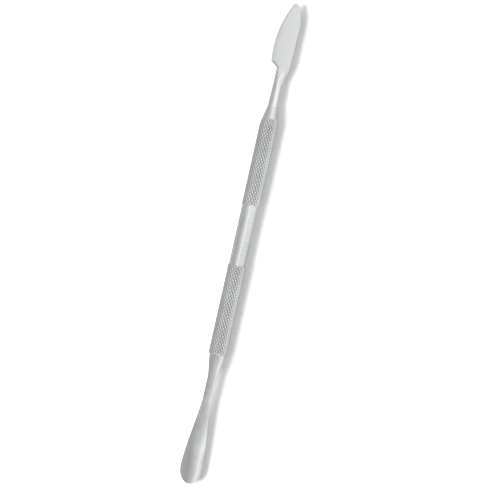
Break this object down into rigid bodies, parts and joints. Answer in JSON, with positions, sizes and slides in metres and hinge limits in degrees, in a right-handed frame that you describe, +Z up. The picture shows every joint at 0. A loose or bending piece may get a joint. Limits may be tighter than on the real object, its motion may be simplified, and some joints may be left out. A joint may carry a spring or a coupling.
{
  "type": "cuticle pusher",
  "caption": "Double-ended steel cuticle pusher: slim knurled bar handle with a spoon-shaped pusher at one end and a small leaf-shaped nail knife at the other.",
  "frame": {"origin": "on the handle axis, in the middle of the plain band between the knurled bands", "axes": "+X along the handle towards the knife, +Z up with the tool lying on its two knurled bands, +Y towards the side that the knife's cutting edge is on"},
  "size_m": [0.1342, 0.0067, 0.005],
  "materials": {
    "bar_steel": "satin turned stainless steel with rolled diamond knurling",
    "tip_steel": "fine lengthwise brushed stainless steel",
    "blade_steel": "polished stainless steel with a ground edge",
    "braze": "dull silver brazing filler"
  },
  "bodies": {
    "root": {"handle": "bar_steel", "knife_tip": "blade_steel", "pusher_tip": "tip_steel", "knife_braze_ring": "braze", "pusher_braze_ring": "braze"}
  },
  "joints": []
}
